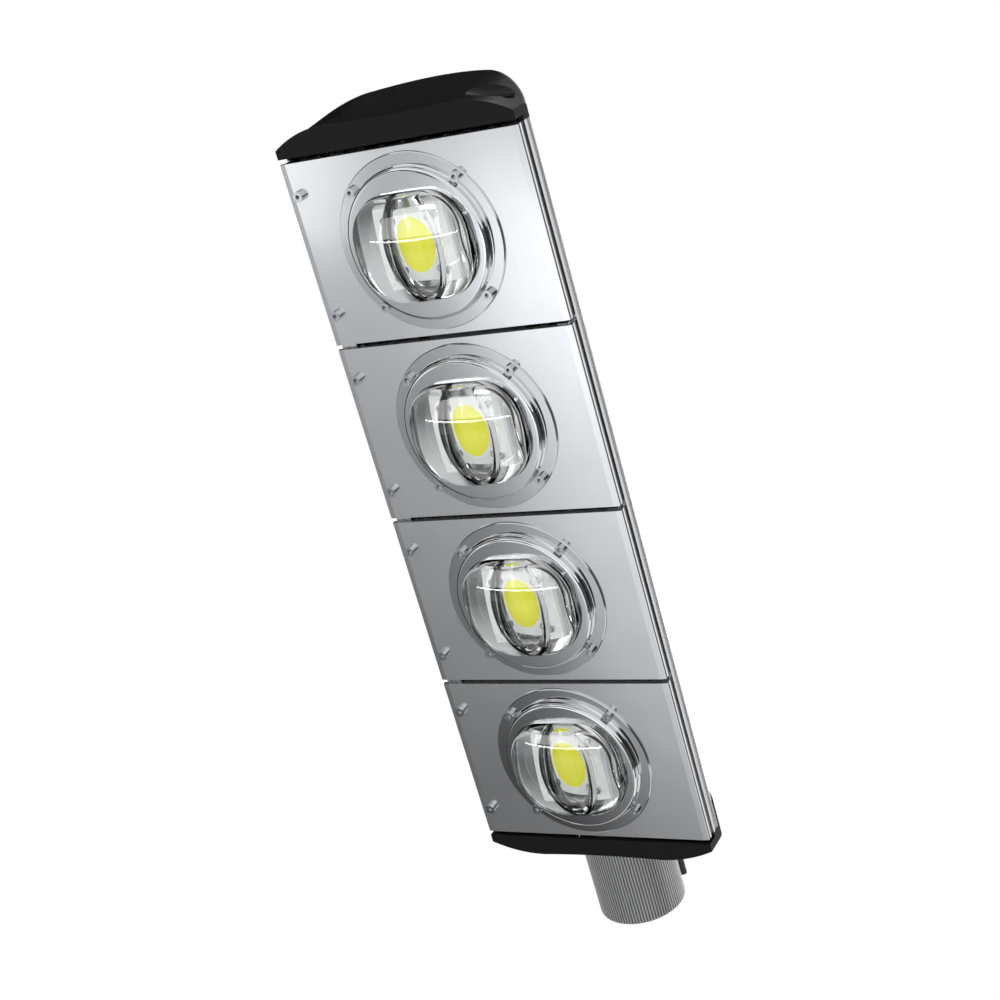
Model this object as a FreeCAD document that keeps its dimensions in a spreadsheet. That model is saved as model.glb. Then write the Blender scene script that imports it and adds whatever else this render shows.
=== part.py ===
import FreeCAD, Part
import Sketcher
import math
import os
import re

# Street light with four lens modules on one finned body, in millimetres.
# X runs from the mouth of the arm socket to the far end, Y across, Z up; the light shines towards -Z.
# The origin is the centre of the socket's mouth, on the socket's axis.

doc = FreeCAD.newDocument("street_light")
sheet = doc.addObject("Spreadsheet::Sheet", "sizes")

SIZES = [
    ("module_count", 4, "lens modules in the row"),
    ("module_width", 180, "across the module plate and the body"),
    ("module_length", 127.5, "along the row"),
    ("module_gap", 3.4, "air gap between modules, and at the caps"),
    ("front_depth", 38.5, "from the socket's axis to the front of the plates"),
    ("spigot_reach", 83, "from the socket's mouth to the body's rear end"),
    ("running_gap", 0.3, "play between pieces that slide together"),
    ("hole_gap", 0.1, "play round a screw's shank"),
    ("bevel_width", 4, "sloped strip along each long plate edge"),
    ("bevel_drop", 0.6, "how far that strip falls"),
    ("base_thickness", 5, "plate behind the light source"),
    ("ledge_thickness", 3, "thinner strip of plate that the left rail carries"),
    ("ledge_width", 16, "width of that strip"),
    ("skirt_depth", 9.8, "right side wall of the plate, and the rim of the body"),
    ("skirt_wall", 5, "thickness of that wall"),
    ("side_land", 1.4, "top of the upper side groove, from the front"),
    ("side_rib_start", 3.2, "rib on the plate's side, from the front"),
    ("side_rib_end", 5.1, "other edge of that rib"),
    ("side_recess", 0.9, "depth of the grooves beside the rib"),
    ("hook_thickness", 2, "tongue that hooks the plate to the right rim"),
    ("hook_height", 3, "height of that tongue"),
    ("back_fin_count", 9, "short fins behind each plate"),
    ("back_fin_height", 7, "height of those fins"),
    ("back_fin_thickness", 2.5, "thickness of those fins"),
    ("back_fin_side", 24, "middle of the outer fins from the plate's sides"),
    ("module_screw_inset", 9, "plate screws from the left edge"),
    ("module_screw_pitch", 84, "between the two plate screws"),
    ("plate_screw_length", 10, "shank of a plate screw"),
    ("ring_diameter", 120, "flange of the clamp ring"),
    ("ring_thickness", 1.5, "thickness of that flange"),
    ("ring_chamfer", 0.5, "broken edges of the clamp ring"),
    ("collar_diameter", 102.4, "outside of the raised collar"),
    ("collar_wall", 2.3, "wall of the collar"),
    ("collar_lip", 1.8, "lip over the lens flange"),
    ("collar_round", 2.2, "round over the collar's top edge"),
    ("collar_foot", 1.1, "hollow round at the collar's foot"),
    ("lip_gap", 0.4, "play between the lip and the lens dome"),
    ("ring_screw_circle", 111.8, "pitch circle of the ring screws"),
    ("ring_screw_length", 5.5, "shank of a ring screw"),
    ("lens_diameter", 97.2, "round flange of the lens"),
    ("lens_flange", 3, "thickness of the lens flange"),
    ("gasket_thickness", 3, "seal under the lens flange"),
    ("gasket_bore", 84, "inside of the seal"),
    ("dome_width", 82, "lens dome across the row"),
    ("dome_length", 71, "lens dome along the row"),
    ("dome_corner", 26, "corner radius of the dome's plan"),
    ("dome_height", 22.5, "dome above the lens flange"),
    ("dome_draft", 3, "slope of the dome's wall, in degrees"),
    ("crown_length", 124, "rounded top of the dome: full form along the row"),
    ("crown_width", 142, "the same across the row"),
    ("crown_height", 60, "half of that form's height"),
    ("dome_round", 3.5, "round between the dome's wall and its top"),
    ("cavity_length", 69, "hollow under the dome, along the row"),
    ("cavity_width", 37, "hollow under the dome, across the row"),
    ("cavity_height", 17, "height of that hollow"),
    ("board_size", 46, "square board of the light source"),
    ("board_thickness", 1.6, "thickness of that board"),
    ("board_screw_spread", 32, "between the screws of the board"),
    ("board_screw_length", 3.5, "shank of a board screw"),
    ("light_diameter", 36.5, "glowing disc"),
    ("light_thickness", 0.6, "height of the glowing disc"),
    ("shoulder_depth", 18, "where the body's arch starts, from the front"),
    ("arch_rise", 56, "height of the arch"),
    ("rim_rib_height", 2.5, "rib along the body's side"),
    ("rim_rib_proud", 1, "how far the rib stands out"),
    ("rim_width", 15, "rim on each side of the body's channel"),
    ("channel_shoulder", 26, "straight side of the channel ends here, from the front"),
    ("channel_roof", 46, "roof of the channel, from the front"),
    ("roof_side", 38, "flat part of the channel's roof from the body's sides"),
    ("web_thickness", 5, "from the channel's roof to the fin roots"),
    ("fin_slot_count", 15, "slots between the cooling fins"),
    ("fin_slot_pitch", 8, "between the slots"),
    ("fin_slot_width", 5, "width of a slot"),
    ("rail_width", 11.6, "left rail that the plates are screwed to"),
    ("rail_inset", 2.4, "left rail from the plate's edge"),
    ("cap_screw_inset", 11, "cap screws from the sides"),
    ("cap_screw_depth", 18, "cap screws from the front"),
    ("cap_screw_length", 25, "shank of a cap screw"),
    ("cap_screw_seat", 9, "seat of the cap screw from the body's end"),
    ("cap_boss", 6, "radius of the post round a cap screw"),
    ("cap_well", 3.9, "radius of the well over the screw's head"),
    ("cap_wall", 2.5, "wall of the end caps"),
    ("cap_side", 9.5, "length of the caps' front face at the sides"),
    ("front_cap_nose", 21.2, "length of the front cap's face at its two lobes"),
    ("rear_cap_nose", 18.8, "the same on the rear cap"),
    ("cap_reach", 40, "past the end of either cap"),
    ("cut_margin", 1, "how far a cutting block overruns"),
    ("cap_dip", 1.2, "dip between the lobes"),
    ("cap_lobe", 48, "lobes from the middle"),
    ("cap_flare", 7, "how far the end wall leans out, at its top"),
    ("cap_round", 3, "round over the end cap's edge"),
    ("scoop_length", 62, "hollow in the end wall round each cap screw, across"),
    ("scoop_height", 24, "height of that hollow"),
    ("scoop_depth", 5.4, "how far it goes in behind the lobe's tip"),
    ("scoop_bulge", 9, "half of the hollow's full depth"),
    ("scoop_spread", 66, "middle of that hollow from the middle of the cap"),
    ("scoop_turn", 12, "turn of that hollow along the end wall, in degrees"),
    ("scoop_level", 22, "middle of that hollow from the front"),
    ("skirt_reach", 18, "rear cap over the body's arch"),
    ("skirt_proud", 1.2, "rear cap outside the body's arch"),
    ("vent_height", 12, "openings beside the spigot in the rear cap"),
    ("vent_depth", 38.5, "middle of those openings from the front"),
    ("vent_start", 41, "openings from the middle"),
    ("vent_width_left", 23, "opening on the left"),
    ("vent_width_right", 9, "opening on the right, beside the cable sleeve"),
    ("spigot_diameter", 65.4, "over the spigot's ribs"),
    ("spigot_bore", 52, "takes a lamp arm's tube"),
    ("spigot_rib_count", 90, "fine ribs round the spigot"),
    ("spigot_rib_height", 0.45, "height of a rib"),
    ("spigot_rib_width", 1.3, "width of a rib at its root"),
    ("spigot_hole_gap", 0.4, "play round the spigot in the rear cap"),
    ("end_plate_thickness", 5, "plate that carries the spigot"),
    ("end_plate_side", 20, "that plate from the body's sides"),
    ("end_plate_inset", 2.6, "that plate inside the body's arch"),
    ("end_plate_foot", 2, "lower edge of that plate above the rim"),
    ("end_screw_side", 26, "screws of the end plate from the body's sides"),
    ("end_screw_edge", 4.526, "those screws below the arched edge of the plate"),
    ("end_screw_length", 17, "shank of an end-plate screw"),
    ("spigot_screw_circle", 57.4, "pitch circle of the screws in the spigot's wall"),
    ("spigot_screw_angle", 35, "lower pair below the level, in degrees"),
    ("spigot_screw_length", 20, "shank of a spigot screw"),
    ("lead_hole", 16, "hole for the supply lead in the end plate"),
    ("arm_bolt_diameter", 8, "bolts that clamp the lamp arm"),
    ("arm_bolt_head", 13, "across the flats of their heads"),
    ("arm_bolt_head_height", 5.3, "height of their heads"),
    ("arm_bolt_stand", 2, "heads above the spigot's ribs"),
    ("arm_bolt_first", 16, "first bolt from the mouth"),
    ("arm_bolt_pitch", 28, "between the two bolts"),
    ("sleeve_diameter", 5.5, "rubber cable sleeve"),
    ("sleeve_bore", 3, "inside of the sleeve"),
    ("sleeve_reach", 79, "sleeve behind the body's rear end"),
    ("sleeve_gap", 1.5, "between the sleeve and the spigot's ribs"),
    ("sleeve_angle", 51, "sleeve above the level, round the socket's axis, in degrees"),
    ("driver_length", 160, "each of the two drivers"),
    ("driver_width", 62, "width of a driver"),
    ("driver_height", 23, "height of a driver"),
    ("driver_tab", 12, "fixing tab at each end of a driver"),
    ("driver_tab_thickness", 2, "thickness of a tab"),
    ("driver_tab_width", 31, "width of a tab"),
    ("driver_start", 60, "first driver from the body's rear end"),
    ("driver_spacing", 30, "between the two drivers' tabs"),
    ("driver_screw_length", 5, "shank of a driver screw"),
    ("terminal_length", 26, "terminal block along the row"),
    ("terminal_width", 40, "terminal block across"),
    ("terminal_height", 14, "height of the terminal block"),
    ("terminal_start", 16, "terminal block from the body's rear end"),
    ("terminal_poles", 3, "wire entries in the terminal block"),
    ("terminal_entry_width", 8, "width of a wire entry"),
    ("terminal_entry_height", 7, "height of a wire entry"),
    ("terminal_entry_depth", 8.5, "depth of a wire entry"),
    ("screw_diameter", 4, "plate, ring, cap, end-plate and driver screws"),
    ("screw_head", 7, "head of such a screw"),
    ("screw_head_height", 4, "height of such a head"),
    ("screw_socket", 3.4, "hexagon in the head, over its corners"),
    ("screw_socket_depth", 2, "depth of the hexagon"),
    ("small_screw_diameter", 2.5, "board screws"),
    ("small_screw_head", 4.5, "head of a board screw"),
    ("small_screw_head_height", 1.2, "height of such a head"),
    ("small_screw_socket", 1.7, "hexagon in the head, over its corners"),
    ("small_screw_socket_depth", 0.7, "depth of the hexagon"),
]
for row, (alias, value, note) in enumerate(SIZES, start=1):
    sheet.set(f"A{row}", alias)
    sheet.set(f"B{row}", str(value))
    sheet.set(f"C{row}", note)
    sheet.setAlias(f"B{row}", alias)
doc.recompute()

# Places that several pieces share, as formulas of the sheet's values.
SIDE = "(module_width / 2)"
FRONT = "(-front_depth)"
RIM = "(skirt_depth - front_depth)"
SHOULDER = "(shoulder_depth - front_depth)"
ARCH_RADIUS = "((module_width ^ 2 / 4 + arch_rise ^ 2) / (2 * arch_rise))"
ARCH_TOP = "(shoulder_depth - front_depth + arch_rise)"
ARCH_CENTRE = f"({ARCH_TOP} - {ARCH_RADIUS})"
ROOF = "(channel_roof - front_depth)"
BODY_LENGTH = "(module_count * module_length + (module_count - 1) * module_gap)"
FAR_END = f"(spigot_reach + {BODY_LENGTH})"
SCREW_HOLE = "(screw_diameter / 2 + hole_gap)"
CAP_SCREW_Y = f"({SIDE} - cap_screw_inset)"
CAP_SCREW_Z = "(cap_screw_depth - front_depth)"
SMALL_SCREW_HOLE = "(small_screw_diameter / 2 + hole_gap)"
END_SCREW_Y = f"({SIDE} - end_screw_side)"
END_PLATE_RADIUS = f"({ARCH_RADIUS} - end_plate_inset)"
END_SCREW_Z = f"({ARCH_CENTRE} + sqrt({END_PLATE_RADIUS} ^ 2 - {END_SCREW_Y} ^ 2) - end_screw_edge)"
END_SCREWS = [(END_SCREW_Y, END_SCREW_Z), (f"-{END_SCREW_Y}", END_SCREW_Z)]
SLEEVE_REACH = "(spigot_diameter / 2 + sleeve_gap + sleeve_diameter / 2)"
SLEEVE_Y = f"({SLEEVE_REACH} * cos(sleeve_angle))"
SLEEVE_Z = f"({SLEEVE_REACH} * sin(sleeve_angle))"
MODULE_COUNT = int(sheet.module_count)
NEAR = 0.01

nodes = []


def linked(formula):
    return re.sub(r"(?<![\w.])(?!sqrt\b|sin\b|cos\b)[a-z]\w*", r"sizes.\g<0>", str(formula))


def number(formula):
    return float(sheet.evalExpression(linked(formula)))


def bind(thing, name, formula):
    thing.setExpression(name, linked(formula))


def place(thing, x="0", y="0", z="0"):
    for axis, formula in zip("xyz", (x, y, z)):
        bind(thing, f"Placement.Base.{axis}", formula)
    return thing


def keep(thing, label):
    thing.Label = label
    nodes.append(thing)
    return thing


def new_body(name):
    return doc.addObject("PartDesign::Body", name)


def sketch(body, role, name, level=None):
    drawing = body.newObject("Sketcher::SketchObject", name)
    plane = next(item for item in body.Origin.OriginFeatures if item.Role == role)
    drawing.AttachmentSupport = [(plane, "")]
    drawing.MapMode = "FlatFace"
    if level is not None:
        bind(drawing, "AttachmentOffset.Base.z", level)
    return drawing


def pin(drawing, geometry, point, x=None, y=None):
    for kind, formula in (("DistanceX", x), ("DistanceY", y)):
        if formula is not None:
            link = Sketcher.Constraint(kind, -1, 1, geometry, point, number(formula))
            bind(drawing, f"Constraints[{drawing.addConstraint(link)}]", formula)


# A closed outline through the corners; an arc's centre is given by its start corner's index.
def outline(drawing, corners, arcs=None):
    arcs = arcs or {}
    spots = [FreeCAD.Vector(number(x), number(y), 0) for x, y in corners]
    ends = []
    for index, start in enumerate(spots):
        stop = spots[(index + 1) % len(spots)]
        if index not in arcs:
            ends.append((drawing.addGeometry(Part.LineSegment(start, stop)), 1, 2))
            continue
        centre_x, centre_y, turn, _ = arcs[index]
        centre = FreeCAD.Vector(number(centre_x), number(centre_y), 0)
        first, last = (start, stop) if turn > 0 else (stop, start)
        angles = [math.atan2(spot.y - centre.y, spot.x - centre.x) for spot in (first, last)]
        circle = Part.Circle(centre, FreeCAD.Vector(0, 0, 1), (start - centre).Length)
        arc = drawing.addGeometry(Part.ArcOfCircle(circle, *angles))
        ends.append((arc, 1, 2) if turn > 0 else (arc, 2, 1))
    for index, (x, y) in enumerate(corners):
        piece, head, tail = ends[index]
        following, following_head, _ = ends[(index + 1) % len(ends)]
        drawing.addConstraint(Sketcher.Constraint("Coincident", piece, tail, following, following_head))
        pin(drawing, piece, head, x, y)
        if index in arcs:
            centre_x, centre_y, _, held = arcs[index]
            if held == "x":
                pin(drawing, piece, 3, x=centre_x)
            else:
                pin(drawing, piece, 3, y=centre_y)


def rectangle(drawing, left, right, bottom, top):
    outline(drawing, [(left, bottom), (right, bottom), (right, top), (left, top)])


def circle(drawing, x, y, radius):
    centre = FreeCAD.Vector(number(x), number(y), 0)
    ring = drawing.addGeometry(Part.Circle(centre, FreeCAD.Vector(0, 0, 1), number(radius)))
    pin(drawing, ring, 3, x, y)
    size = drawing.addConstraint(Sketcher.Constraint("Radius", ring, number(radius)))
    bind(drawing, f"Constraints[{size}]", radius)


def hexagon(drawing, x, y, radius):
    turns = [60 * corner for corner in range(6)]
    outline(drawing, [(f"{x} + {radius} * cos({turn})", f"{y} + {radius} * sin({turn})") for turn in turns])


def rounded_rectangle(drawing, half_x, half_y, corner):
    inner_x, inner_y = f"({half_x} - {corner})", f"({half_y} - {corner})"
    outline(drawing, [
        (f"-{inner_x}", f"-{half_y}"), (inner_x, f"-{half_y}"), (half_x, f"-{inner_y}"), (half_x, inner_y),
        (inner_x, half_y), (f"-{inner_x}", half_y), (f"-{half_x}", inner_y), (f"-{half_x}", f"-{inner_y}"),
    ], {
        1: (inner_x, f"-{inner_y}", 1, "x"), 3: (inner_x, inner_y, 1, "x"),
        5: (f"-{inner_x}", inner_y, 1, "x"), 7: (f"-{inner_x}", f"-{inner_y}", 1, "x"),
    })


def pad(body, drawing, length, back=False):
    feature = body.newObject("PartDesign::Pad", drawing.Name + "_pad")
    feature.Profile = drawing
    feature.Reversed = back
    bind(feature, "Length", length)
    return feature


# A pocket goes against its sketch's normal; forward turns it along the normal.
def pocket(body, drawing, length, forward=False):
    feature = body.newObject("PartDesign::Pocket", drawing.Name + "_pocket")
    feature.Profile = drawing
    feature.Reversed = forward
    bind(feature, "Length", length)
    return feature


def row_pattern(body, feature, drawing, span, count):
    pattern = body.newObject("PartDesign::LinearPattern", feature.Name + "_row")
    pattern.Originals = [feature]
    pattern.Direction = (drawing, ["H_Axis"])
    bind(pattern, "Length", span)
    bind(pattern, "Occurrences", count)
    body.Tip = pattern
    return pattern


def boolean(kind, name, base, tool):
    feature = doc.addObject("Part::" + kind, name)
    feature.Base = base
    feature.Tool = tool
    return feature


def fused(name, shapes):
    feature = doc.addObject("Part::MultiFuse", name)
    feature.Shapes = shapes
    return feature


def cylinder(name, radius, height, x="0", y="0", z="0", along="z"):
    feature = doc.addObject("Part::Cylinder", name)
    bind(feature, "Radius", radius)
    bind(feature, "Height", height)
    turns = {"z": FreeCAD.Rotation(), "x": FreeCAD.Rotation(FreeCAD.Vector(0, 1, 0), 90),
             "y": FreeCAD.Rotation(FreeCAD.Vector(1, 0, 0), -90)}
    feature.Placement = FreeCAD.Placement(FreeCAD.Vector(), turns[along])
    return place(feature, x, y, z)


def box(name, x, y, z, length, width, height):
    feature = doc.addObject("Part::Box", name)
    bind(feature, "Length", length)
    bind(feature, "Width", width)
    bind(feature, "Height", height)
    return place(feature, x, y, z)


def ellipsoid(name, half_x, half_y, half_z, x="0", y="0", z="0"):
    feature = doc.addObject("Part::Ellipsoid", name)
    bind(feature, "Radius1", half_z)
    bind(feature, "Radius2", half_x)
    bind(feature, "Radius3", half_y)
    return place(feature, x, y, z)


# Arch-topped outline in the Y-Z plane: straight sides up to an arch about the body's own centre.
def arch_outline(drawing, half_width, bottom, radius):
    side_top = f"({ARCH_CENTRE} + sqrt({radius} ^ 2 - {half_width} ^ 2))"
    outline(drawing, [
        (f"-{half_width}", bottom), (half_width, bottom),
        (half_width, side_top), (f"-{half_width}", side_top),
    ], {2: ("0", ARCH_CENTRE, 1, "y")})


# A group of socket screws along one axis; the heads start at the seat and point against the shanks.
def screws(label, role, spots, seat, length, kind="", heads_back=True):
    body = new_body(label)
    body.AllowCompound = True
    radius = f"({kind}screw_diameter / 2)"
    height = f"{kind}screw_head_height"
    shanks = sketch(body, role, label + "_shanks", seat)
    heads = sketch(body, role, label + "_heads", seat)
    end = f"{seat} - {height}" if heads_back else f"{seat} + {height}"
    sockets = sketch(body, role, label + "_sockets", end)
    for x, y in spots:
        circle(shanks, x, y, radius)
        circle(heads, x, y, f"({kind}screw_head / 2)")
        hexagon(sockets, x, y, f"({kind}screw_socket / 2)")
    pad(body, shanks, length, back=not heads_back)
    pad(body, heads, height, back=heads_back)
    pocket(body, sockets, f"{kind}screw_socket_depth", forward=heads_back)
    return keep(body, label)


# The finned body: an arch-backed channel, open towards the modules.
def heat_sink_body():
    body = new_body("heat_sink_body")
    band = f"({SHOULDER} - {RIM} - rim_rib_height)"
    band_radius = f"(({band} ^ 2 + rim_rib_proud ^ 2) / (2 * rim_rib_proud))"
    rib_top = f"({RIM} + rim_rib_height)"
    section = sketch(body, "YZ_Plane", "body_section", "spigot_reach")
    outline(section, [
        (f"-{SIDE}", RIM), (SIDE, RIM), (SIDE, rib_top), (f"{SIDE} - rim_rib_proud", rib_top),
        (SIDE, SHOULDER), (f"-{SIDE}", SHOULDER), (f"rim_rib_proud - {SIDE}", rib_top), (f"-{SIDE}", rib_top),
    ], {
        3: (f"{SIDE} - {band_radius}", SHOULDER, 1, "y"),
        4: ("0", ARCH_CENTRE, 1, "y"),
        5: (f"{band_radius} - {SIDE}", SHOULDER, 1, "y"),
    })
    pad(body, section, BODY_LENGTH)

    rail = sketch(body, "YZ_Plane", "left_rail", "spigot_reach")
    rail_left = f"(rail_inset - {SIDE})"
    rectangle(rail, rail_left, f"{rail_left} + rail_width", "ledge_thickness - front_depth", rib_top)
    pad(body, rail, BODY_LENGTH)

    channel = sketch(body, "YZ_Plane", "channel", "spigot_reach")
    half = f"({SIDE} - rim_width)"
    shoulder = "(channel_shoulder - front_depth)"
    below = f"({RIM} - skirt_depth)"
    outline(channel, [
        (f"-{half}", below), (half, below), (half, shoulder),
        (f"{SIDE} - roof_side", ROOF), (f"roof_side - {SIDE}", ROOF), (f"-{half}", shoulder),
    ])
    pocket(body, channel, BODY_LENGTH, forward=True)

    hook = sketch(body, "YZ_Plane", "hook_groove", "spigot_reach")
    hook_left = f"({SIDE} - skirt_wall - running_gap)"
    rectangle(hook, hook_left, f"{hook_left} + hook_thickness + 2 * running_gap", below,
              f"{RIM} + hook_height + running_gap")
    pocket(body, hook, BODY_LENGTH, forward=True)

    ports = sketch(body, "YZ_Plane", "end_ports", "spigot_reach")
    for sign in ("", "-"):
        circle(ports, f"{sign}{CAP_SCREW_Y}", CAP_SCREW_Z, SCREW_HOLE)
    pocket(body, ports, BODY_LENGTH, forward=True)

    plate_ports = sketch(body, "YZ_Plane", "end_plate_ports", "spigot_reach")
    for y, z in END_SCREWS:
        circle(plate_ports, y, z, SCREW_HOLE)
    pocket(body, plate_ports, "end_screw_length", forward=True)

    taps = sketch(body, "XY_Plane", "plate_screw_holes", "ledge_thickness - front_depth")
    for spot in range(MODULE_COUNT):
        for side in ("+", "-"):
            x = f"{module_x(spot + 1)} {side} module_screw_pitch / 2"
            circle(taps, x, f"module_screw_inset - {SIDE}", SCREW_HOLE)
    pocket(body, taps, "plate_screw_length", forward=True)

    driver_taps = sketch(body, "XY_Plane", "driver_screw_holes", ROOF)
    for x in driver_screw_places():
        circle(driver_taps, x, "0", SCREW_HOLE)
    pocket(body, driver_taps, "driver_screw_length - driver_tab_thickness", forward=True)

    slot = sketch(body, "YZ_Plane", "fin_slot", "spigot_reach")
    span = "((fin_slot_count - 1) * fin_slot_pitch)"
    rectangle(slot, f"-{span} / 2 - fin_slot_width / 2", f"-{span} / 2 + fin_slot_width / 2",
              f"{ROOF} + web_thickness", f"{ARCH_TOP} + web_thickness")
    first = pocket(body, slot, BODY_LENGTH, forward=True)
    row_pattern(body, first, slot, span, "fin_slot_count")
    return keep(body, "heat_sink_body")


def module_x(index):
    return f"(spigot_reach + module_length / 2 + (module_count - {index}) * (module_length + module_gap))"


def driver_x(index):
    return f"(spigot_reach + driver_start + {index} * (driver_length + 2 * driver_tab + driver_spacing))"


def driver_screw_places():
    places = []
    for index in range(2):
        places.append(f"{driver_x(index)} - driver_tab / 2")
        places.append(f"{driver_x(index)} + driver_length + driver_tab / 2")
    return places


def in_module(piece, index):
    return place(piece, module_x(index), "0", FRONT)


SIGNS = [(a, b) for a in ("", "-") for b in ("", "-")]
RING_SPOT = "(ring_screw_circle / 2 * cos(45))"
RING_SPOTS = [(f"{a}{RING_SPOT}", f"{b}{RING_SPOT}") for a, b in SIGNS]
BOARD_SPOTS = [(f"{a}board_screw_spread / 2", f"{b}board_screw_spread / 2") for a, b in SIGNS]
PLATE_SPOTS = [(f"{a}module_screw_pitch / 2", f"module_screw_inset - {SIDE}") for a in ("", "-")]
LENS_SEAT = "(-gasket_thickness)"
LENS_TOP = "(-gasket_thickness - lens_flange)"
COLLAR_TOP = "(-gasket_thickness - lens_flange - collar_lip)"


# One module's plate: front face at local zero, hooked on its right side and screwed on its left.
def module_plate(index):
    label = f"module_plate_{index}"
    body = new_body(label)
    half_length = "module_length / 2"
    section = sketch(body, "YZ_Plane", label + "_section", f"-{half_length}")
    recess = f"({SIDE} - side_recess)"
    wall = f"({SIDE} - skirt_wall)"
    hook_foot = "(skirt_depth + hook_height)"
    outline(section, [
        (f"bevel_width - {SIDE}", "0"), (f"{SIDE} - bevel_width", "0"), (SIDE, "bevel_drop"),
        (SIDE, "side_land"), (recess, "side_land"), (recess, "side_rib_start"), (SIDE, "side_rib_start"),
        (SIDE, "side_rib_end"), (recess, "side_rib_end"), (recess, "skirt_depth"),
        (f"{wall} + hook_thickness", "skirt_depth"),
        (f"{wall} + hook_thickness", hook_foot), (wall, hook_foot), (wall, "base_thickness"),
        (f"ledge_width - {SIDE}", "base_thickness"), (f"ledge_width - {SIDE}", "ledge_thickness"),
        (f"-{SIDE}", "ledge_thickness"), (f"-{SIDE}", "bevel_drop"),
    ])
    pad(body, section, "module_length")
    fin = sketch(body, "YZ_Plane", label + "_fin", f"-{half_length}")
    first = f"(back_fin_side - {SIDE})"
    rectangle(fin, f"{first} - back_fin_thickness / 2", f"{first} + back_fin_thickness / 2",
              "base_thickness / 2", "base_thickness + back_fin_height")
    span = "module_width - 2 * back_fin_side"
    row_pattern(body, pad(body, fin, "module_length"), fin, span, "back_fin_count")
    holes = sketch(body, "XY_Plane", label + "_holes", "base_thickness")
    for x, y in RING_SPOTS + PLATE_SPOTS:
        circle(holes, x, y, SCREW_HOLE)
    for x, y in BOARD_SPOTS:
        circle(holes, x, y, SMALL_SCREW_HOLE)
    body.Tip = pocket(body, holes, "base_thickness")
    return keep(in_module(body, index), label)


# The clamp ring: a flat flange, a rounded collar and a lip that leaves an opening for the lens dome.
def clamp_ring(index):
    label = f"clamp_ring_{index}"
    body = new_body(label)
    section = sketch(body, "XZ_Plane", label + "_section")
    outer = "(collar_diameter / 2)"
    inner = "(collar_diameter / 2 - collar_wall)"
    rim = "(ring_diameter / 2)"
    core = "(dome_length / 4)"
    outline(section, [
        (inner, "0"), (rim, "0"), (rim, "ring_chamfer - ring_thickness"),
        (f"{rim} - ring_chamfer", "-ring_thickness"), (f"{outer} + collar_foot", "-ring_thickness"),
        (outer, "-ring_thickness - collar_foot"), (outer, f"{COLLAR_TOP} + collar_round"),
        (f"{outer} - collar_round", COLLAR_TOP), (core, COLLAR_TOP), (core, LENS_TOP), (inner, LENS_TOP),
    ], {
        4: (f"{outer} + collar_foot", "-ring_thickness - collar_foot", 1, "x"),
        6: (f"{outer} - collar_round", f"{COLLAR_TOP} + collar_round", -1, "x"),
    })
    turned = body.newObject("PartDesign::Revolution", label + "_turned")
    turned.Profile = section
    turned.ReferenceAxis = (section, ["V_Axis"])
    turned.Angle = 360
    opening = sketch(body, "XY_Plane", label + "_opening", LENS_TOP)
    rounded_rectangle(opening, "(dome_length / 2 + lip_gap)", "(dome_width / 2 + lip_gap)",
                      "(dome_corner + lip_gap)")
    pocket(body, opening, "collar_lip")
    holes = sketch(body, "XY_Plane", label + "_holes")
    for x, y in RING_SPOTS:
        circle(holes, x, y, SCREW_HOLE)
    pocket(body, holes, "ring_thickness")
    return keep(in_module(body, index), label)


# The lens: a round flange, a wide dome with a soft edge, and a long rounded hollow over the light source.
def lens(index):
    label = f"lens_{index}"
    dome = new_body(label + "_dome")
    plan = sketch(dome, "XY_Plane", label + "_plan", LENS_TOP)
    rounded_rectangle(plan, "(dome_length / 2)", "(dome_width / 2)", "dome_corner")
    wall = pad(dome, plan, "dome_height", back=True)
    bind(wall, "TaperAngle", "-dome_draft")
    crown = ellipsoid(label + "_crown", "crown_length / 2", "crown_width / 2", "crown_height",
                      z=f"{LENS_TOP} - dome_height + crown_height")
    crowned = boolean("Common", label + "_crowned", dome, crown)
    doc.recompute()
    edge_level = number(LENS_TOP) - number("dome_round") / 2
    top_edges = [k for k, edge in enumerate(crowned.Shape.Edges, start=1)
                 if edge.BoundBox.ZMax < edge_level and is_on_crown(edge, crown)]
    softened = doc.addObject("Part::Fillet", label + "_softened")
    softened.Base = crowned
    softened.Edges = [(k, number("dome_round"), number("dome_round")) for k in top_edges]
    flange = cylinder(label + "_flange", "lens_diameter / 2", "lens_flange", z=LENS_TOP)
    solid = fused(label + "_solid", [softened, flange])
    hollow = ellipsoid(label + "_hollow", "cavity_length / 2", "cavity_width / 2", "cavity_height",
                       z=LENS_SEAT)
    return keep(in_module(boolean("Cut", label, solid, hollow), index), label)


def is_on_crown(edge, crown):
    spots = [edge.valueAt(edge.getParameterByLength(edge.Length * share)) for share in (0.2, 0.8)]
    return all(crown.Shape.Faces[0].distToShape(Part.Vertex(spot))[0] < NEAR for spot in spots)


def lens_gasket(index):
    label = f"lens_gasket_{index}"
    outer = cylinder(label + "_outer", "lens_diameter / 2", "gasket_thickness", z=LENS_SEAT)
    bore = cylinder(label + "_bore", "gasket_bore / 2", "gasket_thickness", z=LENS_SEAT)
    return keep(in_module(boolean("Cut", label, outer, bore), index), label)


def light_board(index):
    label = f"light_board_{index}"
    body = new_body(label)
    plan = sketch(body, "XY_Plane", label + "_plan")
    half = "board_size / 2"
    rectangle(plan, f"-{half}", half, f"-{half}", half)
    for x, y in BOARD_SPOTS:
        circle(plan, x, y, SMALL_SCREW_HOLE)
    pad(body, plan, "board_thickness", back=True)
    return keep(in_module(body, index), label)


def light_disc(index):
    label = f"light_disc_{index}"
    disc = cylinder(label, "light_diameter / 2", "light_thickness")
    place(disc, module_x(index), "0", f"{FRONT} - board_thickness - light_thickness")
    return keep(disc, label)


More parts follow.
